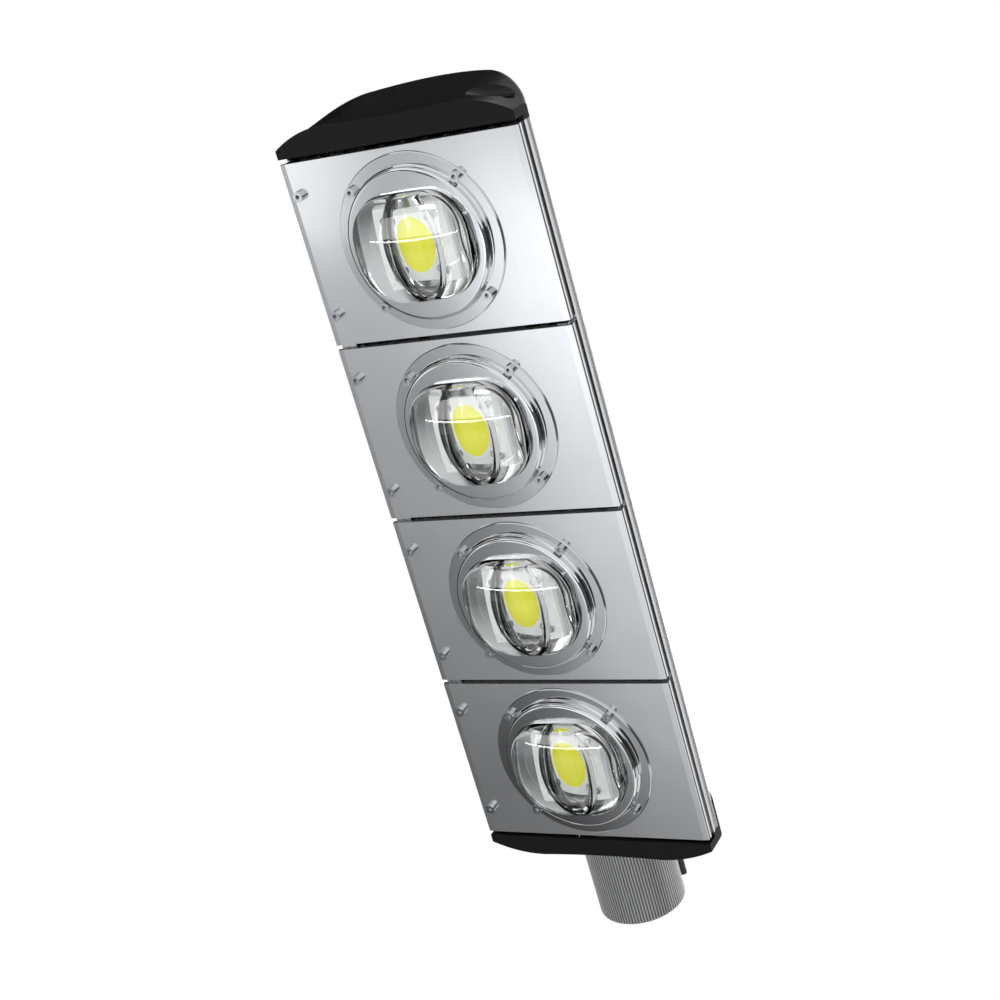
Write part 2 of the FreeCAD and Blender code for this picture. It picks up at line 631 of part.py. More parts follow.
# Plan of an end cap at one level: two lobes with a shallow dip between them, drawn in by a wall where asked.
def cap_plan(drawing, nose, inset, start):
    half = f"({SIDE} - {inset})"
    tip = f"({nose} - {inset})"
    edge = f"(cap_side - {inset})"
    rise = f"({tip} - {edge})"
    run = f"({half} - cap_lobe)"
    lobe_radius = f"(({rise} ^ 2 + {run} ^ 2) / (2 * {rise}))"
    dip_radius = "((cap_lobe ^ 2 + cap_dip ^ 2) / (2 * cap_dip))"
    outline(drawing, [
        (start, f"-{half}"), (edge, f"-{half}"), (tip, "-cap_lobe"),
        (tip, "cap_lobe"), (edge, half), (start, half),
    ], {
        1: (f"{tip} - {lobe_radius}", "-cap_lobe", 1, "y"),
        2: (f"{tip} - cap_dip + {dip_radius}", "0", -1, "x"),
        3: (f"{tip} - {lobe_radius}", "cap_lobe", 1, "y"),
    })


# The end wall's share of the flare at even levels: a faint hollow over the front face, then outwards.
FLARE_SHARES = [0, -0.1, 0.25, 0.6, 1]


# The cap's block before it is hollowed: plan levels lofted upwards, then trimmed by the arch.
def cap_block(name, nose, inset, start, arch_radius):
    block = new_body(name + "_block")
    bottom = f"({FRONT} + {inset})"
    step = f"(({ARCH_TOP} + skirt_proud + cap_wall - {bottom}) / {len(FLARE_SHARES) - 1})"
    plans = []
    for index, share in enumerate(FLARE_SHARES):
        drawing = sketch(block, "XY_Plane", f"{name}_level_{index}", f"{bottom} + {index} * {step}")
        cap_plan(drawing, f"({nose} + cap_flare * {share})", inset, start)
        plans.append(drawing)
    loft = block.newObject("PartDesign::AdditiveLoft", name + "_loft")
    loft.Profile = plans[0]
    loft.Sections = plans[1:]
    arch = new_body(name + "_arch")
    arch_section = sketch(arch, "YZ_Plane", name + "_arch_section", start)
    arch_outline(arch_section, f"({SIDE} - {inset})", bottom, arch_radius)
    pad(arch, arch_section, f"cap_reach - {start}")
    return boolean("Common", name, block, arch)


def cap_edge_fillet(block, arch_radius, name):
    doc.recompute()
    centre = FreeCAD.Vector(0, 0, number(ARCH_CENTRE))
    reach = number(arch_radius)
    chosen = []
    for k, edge in enumerate(block.Shape.Edges, start=1):
        spots = [edge.valueAt(edge.getParameterByLength(edge.Length * share)) for share in (0.25, 0.5, 0.75)]
        radii = [math.hypot(spot.y, spot.z - centre.z) for spot in spots]
        on_arch = all(abs(radius - reach) < NEAR for radius in radii)
        if on_arch and edge.BoundBox.XMin > number("cap_side") - NEAR:
            chosen.append(k)
    rounded = doc.addObject("Part::Fillet", name)
    rounded.Base = block
    rounded.Edges = [(k, number("cap_round"), number("cap_round")) for k in chosen]
    return rounded


# The long hollow in the end wall round a cap screw, or its wall inside the cap.
def cap_scoop(name, nose, sign, extra):
    scoop = ellipsoid(name, f"scoop_bulge + {extra}", f"scoop_length / 2 + {extra}",
                      f"scoop_height / 2 + {extra}", f"({nose} - scoop_depth + scoop_bulge)",
                      f"{sign}scoop_spread", "scoop_level - front_depth")
    upright = FreeCAD.Vector(0, 0, -1 if sign else 1)
    scoop.Placement = FreeCAD.Placement(scoop.Placement.Base, FreeCAD.Rotation(upright, number("scoop_turn")))
    bind(scoop, "Placement.Rotation.Angle", "scoop_turn")
    return scoop


# An end cap in its own frame: X outwards from the body's end, Z from the socket's axis.
def end_cap(label, nose, arch_extra, openings):
    outer_radius = f"({ARCH_RADIUS} + {arch_extra})"
    inner_radius = f"({ARCH_RADIUS} + {arch_extra} - cap_wall)"
    outer = cap_block(label + "_outer", nose, "0", "0", outer_radius)
    rounded = cap_edge_fillet(outer, outer_radius, label + "_rounded")
    inner = cap_block(label + "_inner", nose, "cap_wall", "-cap_wall", inner_radius)
    posts, wells = [], []
    for sign in ("", "-"):
        posts.append(cap_scoop(f"{label}_scoop_wall_{len(posts)}", nose, sign, "cap_wall"))
        wells.append(cap_scoop(f"{label}_scoop_{len(wells)}", nose, sign, "0"))
        spot = {"y": f"{sign}{CAP_SCREW_Y}", "z": CAP_SCREW_Z, "along": "x"}
        tag = f"{label}_{'right' if sign == '' else 'left'}"
        posts.append(cylinder(tag + "_post", "cap_boss", "cap_reach", **spot))
        wells.append(cylinder(tag + "_hole", SCREW_HOLE, "cap_screw_seat", **spot))
        wells.append(cylinder(tag + "_well", "cap_well", "cap_reach", x="cap_screw_seat", **spot))
    hollow = boolean("Cut", label + "_hollow", inner, fused(label + "_posts", posts))
    slot = box(label + "_front_gap", "-cut_margin", f"-{SIDE} - cut_margin", f"{FRONT} - cut_margin",
               "module_gap + cut_margin", "module_width + 2 * cut_margin", "skirt_depth + cut_margin")
    return rounded, fused(label + "_tools", [hollow, slot] + wells + openings)


def front_cap():
    rounded, tools = end_cap("front_cap", "front_cap_nose", "0", [])
    cap = boolean("Cut", "front_cap", rounded, tools)
    return keep(place(cap, FAR_END), "front_cap")


# The rear cap is turned half round, lets the spigot and the sleeve through, and laps over the body's arch.
def rear_cap():
    label = "rear_cap"
    vent_foot = "vent_depth - front_depth - vent_height / 2"
    openings = [
        cylinder(label + "_spigot_hole", "spigot_diameter / 2 + spigot_hole_gap", "cap_reach", along="x"),
        cylinder(label + "_sleeve_hole", "sleeve_diameter / 2 + hole_gap", "cap_reach",
                 y=f"-{SLEEVE_Y}", z=SLEEVE_Z, along="x"),
        box(label + "_vent_left", "cap_side", "vent_start", vent_foot,
            "cap_reach", "vent_width_left", "vent_height"),
        box(label + "_vent_right", "cap_side", "-vent_start - vent_width_right", vent_foot,
            "cap_reach", "vent_width_right", "vent_height"),
    ]
    rounded, tools = end_cap(label, "rear_cap_nose", "skirt_proud", openings)
    lap = new_body(label + "_lap")
    lap_section = sketch(lap, "YZ_Plane", label + "_lap_section", "-skirt_reach")
    arch_outline(lap_section, SIDE, f"{SHOULDER} - rim_rib_proud", f"({ARCH_RADIUS} + skirt_proud)")
    pad(lap, lap_section, "skirt_reach")
    core = new_body(label + "_core")
    core_section = sketch(core, "YZ_Plane", label + "_core_section", "-skirt_reach - cut_margin")
    core_foot = f"{SHOULDER} - 2 * rim_rib_proud"
    arch_outline(core_section, f"({SIDE} + cut_margin)", core_foot, f"({ARCH_RADIUS} + hole_gap)")
    pad(core, core_section, "skirt_reach + cut_margin")
    shell = boolean("Cut", label + "_lap_shell", lap, core)
    cap = boolean("Cut", label, fused(label + "_whole", [rounded, shell]), tools)
    cap.Placement = FreeCAD.Placement(FreeCAD.Vector(), FreeCAD.Rotation(FreeCAD.Vector(0, 0, 1), 180))
    return keep(place(cap, "spigot_reach"), label)


def cap_screws():
    spots = [(CAP_SCREW_Y, CAP_SCREW_Z), (f"-{CAP_SCREW_Y}", CAP_SCREW_Z)]
    front_seat, rear_seat = f"{FAR_END} + cap_screw_seat", "spigot_reach - cap_screw_seat"
    screws("front_cap_screws", "YZ_Plane", spots, front_seat, "cap_screw_length", heads_back=False)
    screws("rear_cap_screws", "YZ_Plane", spots, rear_seat, "cap_screw_length")


# The ribbed tube that slides over the lamp arm.
def spigot():
    body = new_body("spigot")
    root = "(spigot_diameter / 2 - spigot_rib_height)"
    length = "(spigot_reach - end_plate_thickness)"
    tube = sketch(body, "YZ_Plane", "spigot_tube")
    circle(tube, "0", "0", root)
    pad(body, tube, length)
    rib = sketch(body, "YZ_Plane", "spigot_rib")
    half, foot, top = "(spigot_rib_width / 2)", f"{root} - spigot_rib_height", "spigot_diameter / 2"
    outline(rib, [(f"-{half}", foot), (half, foot), (half, root), (f"{half} / 2", top), (f"-{half} / 2", top),
                  (f"-{half}", root)])
    first = pad(body, rib, length)
    ribs = body.newObject("PartDesign::PolarPattern", "spigot_ribs")
    ribs.Originals = [first]
    ribs.Axis = (rib, ["N_Axis"])
    ribs.Angle = 360
    bind(ribs, "Occurrences", "spigot_rib_count")
    body.Tip = ribs
    bore = sketch(body, "YZ_Plane", "spigot_bore")
    circle(bore, "0", "0", "spigot_bore / 2")
    pocket(body, bore, length, forward=True)
    taps = sketch(body, "YZ_Plane", "spigot_screw_holes", length)
    for y, z in spigot_screw_spots():
        circle(taps, y, z, SCREW_HOLE)
    pocket(body, taps, "spigot_screw_length - end_plate_thickness")
    bolts = sketch(body, "XY_Plane", "arm_bolt_holes")
    for x in arm_bolt_places():
        circle(bolts, x, "0", "arm_bolt_diameter / 2 + hole_gap")
    body.Tip = pocket(body, bolts, "spigot_diameter", forward=True)
    return keep(body, "spigot")


def spigot_screw_spots():
    reach = "spigot_screw_circle / 2"
    low_y, low_z = f"({reach} * cos(spigot_screw_angle))", f"(-{reach} * sin(spigot_screw_angle))"
    return [(f"{reach}", "0"), (f"-{reach}", "0"), (low_y, low_z), (f"-{low_y}", low_z)]


def arm_bolt_places():
    return ["arm_bolt_first", "arm_bolt_first + arm_bolt_pitch"]


def end_plate():
    body = new_body("end_plate")
    plan = sketch(body, "YZ_Plane", "end_plate_plan", "spigot_reach - end_plate_thickness")
    arch_outline(plan, f"({SIDE} - end_plate_side)", f"{RIM} + end_plate_foot", END_PLATE_RADIUS)
    for y, z in END_SCREWS + spigot_screw_spots():
        circle(plan, y, z, SCREW_HOLE)
    circle(plan, "0", "0", "lead_hole / 2")
    pad(body, plan, "end_plate_thickness")
    return keep(body, "end_plate")


def end_plate_screws():
    seat = "spigot_reach - end_plate_thickness"
    screws("end_plate_screws", "YZ_Plane", END_SCREWS, seat, "end_screw_length")
    screws("spigot_screws", "YZ_Plane", spigot_screw_spots(), "spigot_reach", "spigot_screw_length",
           heads_back=False)


# Hexagon bolts on the hidden upper side of the spigot, their tips flush with the bore.
def arm_bolts():
    body = new_body("arm_bolts")
    body.AllowCompound = True
    head_seat = "(spigot_diameter / 2 + arm_bolt_stand)"
    tip = "(spigot_bore / 2 + running_gap)"
    shanks = sketch(body, "XY_Plane", "arm_bolt_shanks", tip)
    heads = sketch(body, "XY_Plane", "arm_bolt_heads", head_seat)
    for x in arm_bolt_places():
        circle(shanks, x, "0", "arm_bolt_diameter / 2")
        hexagon(heads, x, "0", "(arm_bolt_head / 2 / cos(30))")
    pad(body, shanks, f"{head_seat} - {tip}")
    pad(body, heads, "arm_bolt_head_height")
    return keep(body, "arm_bolts")


def cable_sleeve():
    body = new_body("cable_sleeve")
    ring = sketch(body, "YZ_Plane", "sleeve_section", "spigot_reach - sleeve_reach")
    circle(ring, SLEEVE_Y, SLEEVE_Z, "sleeve_diameter / 2")
    circle(ring, SLEEVE_Y, SLEEVE_Z, "sleeve_bore / 2")
    pad(body, ring, "sleeve_reach - end_plate_thickness")
    return keep(body, "cable_sleeve")


# Two drivers under the channel's roof, each a closed case with a tab at both ends.
def driver(index):
    label = f"led_driver_{index + 1}"
    body = new_body(label)
    case = sketch(body, "XY_Plane", label + "_case", ROOF)
    rectangle(case, "0", "driver_length", "-driver_width / 2", "driver_width / 2")
    pad(body, case, "driver_height", back=True)
    tabs = sketch(body, "XY_Plane", label + "_tabs", ROOF)
    half = "driver_tab_width / 2"
    rectangle(tabs, "-driver_tab", "driver_length + driver_tab", f"-{half}", half)
    circle(tabs, "-driver_tab / 2", "0", SCREW_HOLE)
    circle(tabs, "driver_length + driver_tab / 2", "0", SCREW_HOLE)
    pad(body, tabs, "driver_tab_thickness", back=True)
    return keep(place(body, driver_x(index)), label)


def driver_screws():
    spots = [(x, "0") for x in driver_screw_places()]
    screws("driver_screws", "XY_Plane", spots, f"{ROOF} - driver_tab_thickness", "driver_screw_length")


def terminal_block():
    body = new_body("terminal_block")
    case = sketch(body, "XY_Plane", "terminal_case", ROOF)
    rectangle(case, "0", "terminal_length", "-terminal_width / 2", "terminal_width / 2")
    pad(body, case, "terminal_height", back=True)
    entries = sketch(body, "YZ_Plane", "terminal_entries")
    half_width, half_height = "terminal_entry_width / 2", "terminal_entry_height / 2"
    level = f"({ROOF} - terminal_height / 2)"
    for pole in range(int(sheet.terminal_poles)):
        middle = f"(terminal_width / terminal_poles * ({pole} - (terminal_poles - 1) / 2))"
        rectangle(entries, f"{middle} - {half_width}", f"{middle} + {half_width}",
                  f"{level} - {half_height}", f"{level} + {half_height}")
    pocket(body, entries, "terminal_entry_depth", forward=True)
    return keep(place(body, "spigot_reach + terminal_start"), "terminal_block")


def module_screws(index):
    groups = [
        ("ring_screws", RING_SPOTS, "-ring_thickness", "ring_screw_length", ""),
        ("plate_screws", PLATE_SPOTS, "0", "plate_screw_length", ""),
        ("board_screws", BOARD_SPOTS, "-board_thickness", "board_screw_length", "small_"),
    ]
    for name, spots, seat, length, kind in groups:
        in_module(screws(f"{name}_{index}", "XY_Plane", spots, seat, length, kind), index)


heat_sink_body()
for place_in_row in range(1, MODULE_COUNT + 1):
    for piece in (module_plate, clamp_ring, lens, lens_gasket, light_board, light_disc, module_screws):
        piece(place_in_row)
front_cap()
rear_cap()
cap_screws()
spigot()
end_plate()
end_plate_screws()
arm_bolts()
cable_sleeve()
driver(0)
driver(1)
driver_screws()
terminal_block()

doc.recompute()
broken = [item.Label for item in doc.Objects if {"Invalid", "Error"} & set(item.State)]
for node in nodes:
    if node.Shape.isNull() or not node.Shape.isValid() or not node.Shape.Solids:
        broken.append(node.Label)
if broken:
    raise RuntimeError("these did not build: " + ", ".join(broken))

os.makedirs("parts", exist_ok=True)
for node in nodes:
    node.Shape.exportStep(f"parts/{node.Label}.step")
print(len(nodes), "sub-parts written")
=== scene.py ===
import math

import bmesh
import bpy
from mathutils import Euler, Matrix, Vector


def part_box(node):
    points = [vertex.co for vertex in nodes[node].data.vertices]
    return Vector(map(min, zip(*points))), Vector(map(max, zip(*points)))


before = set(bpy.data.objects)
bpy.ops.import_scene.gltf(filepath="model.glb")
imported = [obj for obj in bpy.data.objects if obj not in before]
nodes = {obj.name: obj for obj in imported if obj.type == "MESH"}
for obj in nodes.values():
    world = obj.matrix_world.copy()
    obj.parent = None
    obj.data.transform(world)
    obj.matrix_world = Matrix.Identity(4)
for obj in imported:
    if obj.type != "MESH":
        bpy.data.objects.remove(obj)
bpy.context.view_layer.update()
scene = bpy.context.scene
print("frame loaded:", len(nodes), "nodes")

noiseSpread = (0.3, 0.7)  # most values of a noise texture lie between these


# small helpers for node trees
def newMaterial(name):
    material = bpy.data.materials.new(name)
    material.use_nodes = True
    tree = material.node_tree
    return material, tree, tree.nodes["Principled BSDF"]


def glowMaterial(name):
    material = bpy.data.materials.new(name)
    material.use_nodes = True
    tree = material.node_tree
    tree.nodes.clear()
    glow = addNode(tree, "ShaderNodeEmission")
    addNode(tree, "ShaderNodeOutputMaterial", {"Surface": glow.outputs[0]})
    return material, tree, glow


def addNode(tree, kind, inputs=None, **settings):
    node = tree.nodes.new(kind)
    for key, value in settings.items():
        setattr(node, key, value)
    for key, value in (inputs or {}).items():
        feed(tree, node.inputs[key], value)
    return node


def setShader(tree, shader, **values):
    for key, value in values.items():
        feed(tree, shader.inputs[key.replace("_", " ")], value)


def feed(tree, socket, value):
    if isinstance(value, bpy.types.NodeSocket):
        tree.links.new(value, socket)
    else:
        socket.default_value = value


def compute(tree, operation, *values):
    return addNode(tree, "ShaderNodeMath", dict(enumerate(values)), operation=operation).outputs[0]


def objectPlace(tree):
    return addNode(tree, "ShaderNodeTexCoord").outputs["Object"]


def objectParts(tree):
    return addNode(tree, "ShaderNodeSeparateXYZ", {"Vector": objectPlace(tree)}).outputs


def distance(tree, **parts):
    joined = addNode(tree, "ShaderNodeCombineXYZ", parts).outputs[0]
    return addNode(tree, "ShaderNodeVectorMath", {0: joined}, operation="LENGTH").outputs["Value"]


def grain(tree, scale, stretch=(1, 1, 1), detail=3.0, roughness=0.55):
    mapping = addNode(tree, "ShaderNodeMapping", {"Vector": objectPlace(tree), "Scale": stretch})
    noise = addNode(tree, "ShaderNodeTexNoise", {
        "Vector": mapping.outputs["Vector"], "Scale": scale, "Detail": detail, "Roughness": roughness})
    return noise.outputs["Fac"]


def ramp(tree, factor, stops):
    node = addNode(tree, "ShaderNodeValToRGB", {"Fac": factor})
    elements = node.color_ramp.elements
    while len(elements) < len(stops):
        elements.new(0.5)  # each one gets its place below
    for element, (place, colour) in zip(elements, stops):
        element.position = place
        element.color = (*colour, 1.0)
    return node.outputs["Color"]


def shades(tree, factor, look, spread=noiseSpread):
    return ramp(tree, factor, list(zip(spread, (look["dark"], look["light"]))))


def greys(tree, factor, stops):
    return ramp(tree, factor, [(place, (level, level, level)) for place, level in stops])


def blend(tree, factor, first, second):
    node = addNode(tree, "ShaderNodeMix", {
        "Factor": factor, "A": first, "B": (*second, 1.0)}, data_type="RGBA")
    return node.outputs["Result"]


def span(tree, factor, low, high, fromLow=noiseSpread[0], fromHigh=noiseSpread[1]):
    node = addNode(tree, "ShaderNodeMapRange", {
        "Value": factor, "From Min": fromLow, "From Max": fromHigh, "To Min": low, "To Max": high})
    return node.outputs["Result"]


def bump(tree, height, strength, depth):
    node = addNode(tree, "ShaderNodeBump", {"Height": height, "Strength": strength, "Distance": depth})
    return node.outputs["Normal"]


def moduleRadius(tree):
    # distance from the middle of the nearest lens, the same on all four modules
    row = {"start": 0.14675, "pitch": 0.1309}
    half = row["pitch"] / 2
    parts = objectParts(tree)
    along = compute(tree, "SUBTRACT", parts["X"], row["start"])
    return distance(tree, X=compute(tree, "WRAP", along, half, -half), Y=parts["Y"])


def mottled(name, look, **fixed):
    # one grain drives the colour, the gloss and the relief
    material, tree, shader = newMaterial(name)
    mottle = grain(tree, **look["grain"])
    setShader(tree, shader, Base_Color=shades(tree, mottle, look),
              Roughness=span(tree, mottle, *look["roughness"]),
              Normal=bump(tree, mottle, *look["bump"]), **fixed)
    return material


def dress(material, *names):
    # a name stands for one node, or for a numbered row of them
    for name, node in nodes.items():
        if name.rstrip("_0123456789") in names:
            node.data.materials.clear()
            node.data.materials.append(material)


# satin anodised plates: very fine grain along the extrusion, a little cloudiness, painted shade on the floor
# of the side grooves
plateLook = {"light": (0.80, 0.815, 0.835), "dark": (0.76, 0.775, 0.795), "metallic": 0.9,
             "streaks": {"scale": 900, "stretch": (0.04, 1, 1), "detail": 4},
             "cloud": {"scale": 22, "detail": 2}, "roughness": (0.15, 0.17), "bump": (0.008, 0.0001),
             "groove": (0.13, 0.132, 0.138), "grooveDepth": 0.0009, "grooveStart": 0.0013, "blend": 0.0002}
plate, tree, shader = newMaterial("plateAluminium")
streaks = grain(tree, **plateLook["streaks"])
cloud = grain(tree, **plateLook["cloud"])
plateLow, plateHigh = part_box("module_plate_1")
grooveFloor = plateHigh[1] - plateLook["grooveDepth"]
grooveFront = plateLow[2] + plateLook["grooveStart"]
parts = objectParts(tree)
# painted shade: the floor of each side groove is coloured dark, where shade would fall
near = compute(tree, "COMPARE", parts["Y"], grooveFloor, plateLook["blend"])
behind = span(tree, parts["Z"], 0.0, 1.0, grooveFront - plateLook["blend"], grooveFront)
groove = compute(tree, "MULTIPLY", near, behind)
setShader(tree, shader, Metallic=plateLook["metallic"],
          Base_Color=blend(tree, groove, shades(tree, cloud, plateLook), plateLook["groove"]),
          Roughness=span(tree, streaks, *plateLook["roughness"]),
          Normal=bump(tree, streaks, *plateLook["bump"]))
dress(plate, "module_plate")

# finned body and end plate: drawn aluminium, the draw lines run along it
bodyLook = {"light": (0.73, 0.74, 0.755), "dark": (0.68, 0.69, 0.705),
            "drawLines": {"scale": 1400, "stretch": (0.012, 1, 1), "detail": 4},
            "cloud": {"scale": 14, "detail": 2}, "roughness": (0.20, 0.30), "bump": (0.12, 0.0003)}
body, tree, shader = newMaterial("bodyAluminium")
drawLines = grain(tree, **bodyLook["drawLines"])
cloud = grain(tree, **bodyLook["cloud"])
setShader(tree, shader, Metallic=1.0,
          Base_Color=shades(tree, cloud, bodyLook),
          Roughness=span(tree, drawLines, *bodyLook["roughness"]),
          Normal=bump(tree, drawLines, *bodyLook["bump"]))
dress(body, "heat_sink_body", "end_plate")

# clamp rings: satin flange and lip, the rounded collar between them is polished
ringLook = {"satin": (0.70, 0.715, 0.735), "polished": (0.82, 0.83, 0.845),
            "satinRoughness": (0.10, 0.15), "polishedRoughness": 0.06,
            "collarStart": 0.0490, "collarEnd": 0.0523, "blend": 0.0003,
            "turning": {"scale": 1600}, "bump": (0.02, 0.0001)}
ring, tree, shader = newMaterial("ringAluminium")
radius = moduleRadius(tree)
inner = span(tree, radius, 0.0, 1.0, ringLook["collarStart"] - ringLook["blend"], ringLook["collarStart"])
outer = span(tree, radius, 1.0, 0.0, ringLook["collarEnd"], ringLook["collarEnd"] + ringLook["blend"])
collar = compute(tree, "MULTIPLY", inner, outer)
turning = grain(tree, **ringLook["turning"])
satin = span(tree, turning, *ringLook["satinRoughness"])
rough = addNode(tree, "ShaderNodeMix", {
    "Factor": collar, "A": satin, "B": ringLook["polishedRoughness"]}, data_type="FLOAT")
setShader(tree, shader, Metallic=1.0,
          Base_Color=ramp(tree, collar, [(0.0, ringLook["satin"]), (1.0, ringLook["polished"])]),
          Roughness=rough.outputs["Result"],
          Normal=bump(tree, turning, *ringLook["bump"]))
dress(ring, "clamp_ring")

# pressed glass lenses: clear, with a faint wave from the mould
lensLook = {"light": (0.97, 0.985, 0.98), "dark": (0.955, 0.975, 0.97), "spread": (0.2, 0.8), "ior": 1.5,
            "wave": {"scale": 35, "detail": 1}, "haze": {"scale": 300}, "roughness": (0.0, 0.012),
            "bump": (0.15, 0.0006)}
glass, tree, shader = newMaterial("lensGlass")
wave = grain(tree, **lensLook["wave"])
haze = grain(tree, **lensLook["haze"])
setShader(tree, shader, Transmission_Weight=1.0, IOR=lensLook["ior"],
          Base_Color=shades(tree, wave, lensLook, lensLook["spread"]),
          Roughness=span(tree, haze, *lensLook["roughness"]),
          Normal=bump(tree, wave, *lensLook["bump"]))
dress(glass, "lens")

# rubber seal under each lens
sealLook = {"light": (0.030, 0.030, 0.032), "dark": (0.016, 0.016, 0.018),
            "grain": {"scale": 700, "detail": 4}, "roughness": (0.5, 0.65), "bump": (0.2, 0.0002)}
dress(mottled("sealRubber", sealLook), "lens_gasket")

# white lacquered light boards
boardLook = {"light": (0.88, 0.88, 0.87), "dark": (0.80, 0.80, 0.79),
             "grain": {"scale": 500}, "roughness": (0.28, 0.4), "bump": (0.05, 0.0001)}
dress(mottled("boardWhite", boardLook), "light_board")

# phosphor disc with a pale dam round its edge
discLook = {"light": (0.92, 0.90, 0.030), "dark": (0.86, 0.83, 0.022), "spread": (0.35, 0.65),
            "dam": (0.88, 0.88, 0.80), "damEdge": 0.0172, "blend": 0.0003,
            "speckle": {"scale": 1500}, "roughness": (0.3, 0.42), "bump": (0.08, 0.0001)}
disc, tree, shader = newMaterial("phosphorYellow")
speckle = grain(tree, **discLook["speckle"])
phosphor = shades(tree, speckle, discLook, discLook["spread"])
edge = span(tree, moduleRadius(tree), 0.0, 1.0, discLook["damEdge"], discLook["damEdge"] + discLook["blend"])
setShader(tree, shader, Base_Color=blend(tree, edge, phosphor, discLook["dam"]),
          Roughness=span(tree, speckle, *discLook["roughness"]),
          Normal=bump(tree, speckle, *discLook["bump"]))
dress(disc, "light_disc")

# zinc plated screws and bolts
screwLook = {"light": (0.76, 0.79, 0.82), "dark": (0.52, 0.55, 0.58),
             "grain": {"scale": 1100, "detail": 4}, "roughness": (0.12, 0.26), "bump": (0.06, 0.0001)}
dress(mottled("screwSteel", screwLook, Metallic=1.0),
      "ring_screws", "plate_screws", "board_screws", "front_cap_screws", "rear_cap_screws",
      "end_plate_screws", "spigot_screws", "driver_screws", "arm_bolts")

# black moulded caps: fine spark texture, slightly glossy
capLook = {"light": (0.010, 0.010, 0.011), "dark": (0.005, 0.005, 0.006), "specular": 0.1,
           "grain": {"scale": 1300, "detail": 4}, "roughness": (0.26, 0.36), "bump": (0.10, 0.0002)}
dress(mottled("capPlastic", capLook, Specular_IOR_Level=capLook["specular"]), "front_cap", "rear_cap")

# arm socket: ribbed drawn tube, painted shade between the ribs
spigotLook = {"light": (0.76, 0.765, 0.775), "dark": (0.66, 0.665, 0.675),
              "drawLines": {"scale": 1100, "stretch": (0.02, 1, 1), "detail": 4},
              "roughness": (0.40, 0.50), "bump": (0.12, 0.0002),
              "paintedValleyShade": (0.22, 0.222, 0.228), "root": 0.03225, "blend": 0.00012}
spigotMetal, tree, shader = newMaterial("spigotAluminium")
drawLines = grain(tree, **spigotLook["drawLines"])
parts = objectParts(tree)
radius = distance(tree, Y=parts["Y"], Z=parts["Z"])
# painted shade: the valleys between the ribs are coloured dark grey
paintedValleyShade = compute(tree, "COMPARE", radius, spigotLook["root"], spigotLook["blend"])
setShader(tree, shader, Metallic=1.0,
          Base_Color=blend(tree, paintedValleyShade, shades(tree, drawLines, spigotLook), spigotLook["paintedValleyShade"]),
          Roughness=span(tree, drawLines, *spigotLook["roughness"]),
          Normal=bump(tree, drawLines, *spigotLook["bump"]))
dress(spigotMetal, "spigot")

# cable sleeve: dull black rubber
sleeveLook = {"light": (0.045, 0.045, 0.047), "dark": (0.025, 0.025, 0.027),
              "grain": {"scale": 900, "detail": 4}, "roughness": (0.5, 0.7), "bump": (0.2, 0.0002)}
dress(mottled("sleeveRubber", sleeveLook), "cable_sleeve")

# driver cases: powder coat with a light orange peel
driverLook = {"light": (0.20, 0.205, 0.21), "dark": (0.15, 0.155, 0.16),
              "grain": {"scale": 420, "detail": 2}, "roughness": (0.38, 0.5), "bump": (0.25, 0.0003)}
dress(mottled("driverCase", driverLook), "led_driver")

# terminal block: pale nylon
terminalLook = {"light": (0.62, 0.62, 0.58), "dark": (0.54, 0.54, 0.50),
                "grain": {"scale": 600}, "roughness": (0.4, 0.5), "bump": (0.1, 0.0002)}
dress(mottled("terminalPlastic", terminalLook), "terminal_block")
print("materials on all nodes")


def flatPiece(name, material, middle, size, turn=(0, 0, 0)):
    mesh = bpy.data.meshes.new(name)
    shape = bmesh.new()
    bmesh.ops.create_grid(shape, x_segments=1, y_segments=1, size=0.5)  # one metre square
    bmesh.ops.scale(shape, verts=shape.verts, vec=(*size, 1.0))
    bmesh.ops.rotate(shape, verts=shape.verts, matrix=Euler([math.radians(a) for a in turn]).to_matrix())
    bmesh.ops.translate(shape, verts=shape.verts, vec=middle)
    shape.to_mesh(mesh)
    shape.free()
    mesh.materials.append(material)
    piece = bpy.data.objects.new(name, mesh)
    scene.collection.objects.link(piece)
    return piece


# pale floor well below the light
floorSet = {"middle": (0.3, 0.0, -1.9), "size": (16.0, 16.0), "light": (0.84, 0.84, 0.83),
            "dark": (0.80, 0.80, 0.79), "wear": {"scale": 3, "detail": 4}, "roughness": 0.9, "specular": 0.1}
floorPaint, tree, shader = newMaterial("floorPaint")
setShader(tree, shader, Roughness=floorSet["roughness"], Specular_IOR_Level=floorSet["specular"],
          Base_Color=shades(tree, grain(tree, **floorSet["wear"]), floorSet))
floor = flatPiece("floor", floorPaint, floorSet["middle"], floorSet["size"])


# studio cards: only metal and glass see them, they cast no shade
def studioCard(name, material, middle, size, turn=(0, 0, 0), onMetal=True):
    card = flatPiece(name, material, middle, size, turn)
    card.visible_camera = False
    card.visible_diffuse = False
    card.visible_glossy = onMetal
    card.visible_shadow = False


# graded reflector: it shades the plates from one end of the row to the other, brighter on the right
reflectorSet = {"middle": (-0.68, -1.1, -1.5), "size": (2.25, 3.2), "colour": (0.97, 0.985, 1.0, 1.0),
                "strength": 1.2, "reach": (-1.0, 0.4), "rightEdge": (-0.95, -0.81),
                "even": [(0.04, 0.04), (0.14, 0.06), (0.29, 0.14), (0.50, 0.22),
                         (0.64, 0.30), (0.79, 0.40), (0.91, 0.44)],
                "right": [(0.04, 0.16), (0.14, 0.28), (0.36, 0.42), (0.59, 0.58),
                          (0.79, 0.88), (0.86, 0.70), (0.93, 0.1)]}
reflectorCloth, tree, glow = glowMaterial("reflectorCloth")
parts = objectParts(tree)
along = span(tree, parts["X"], 0.0, 1.0, *reflectorSet["reach"])
even = greys(tree, along, reflectorSet["even"])
right = greys(tree, along, reflectorSet["right"])
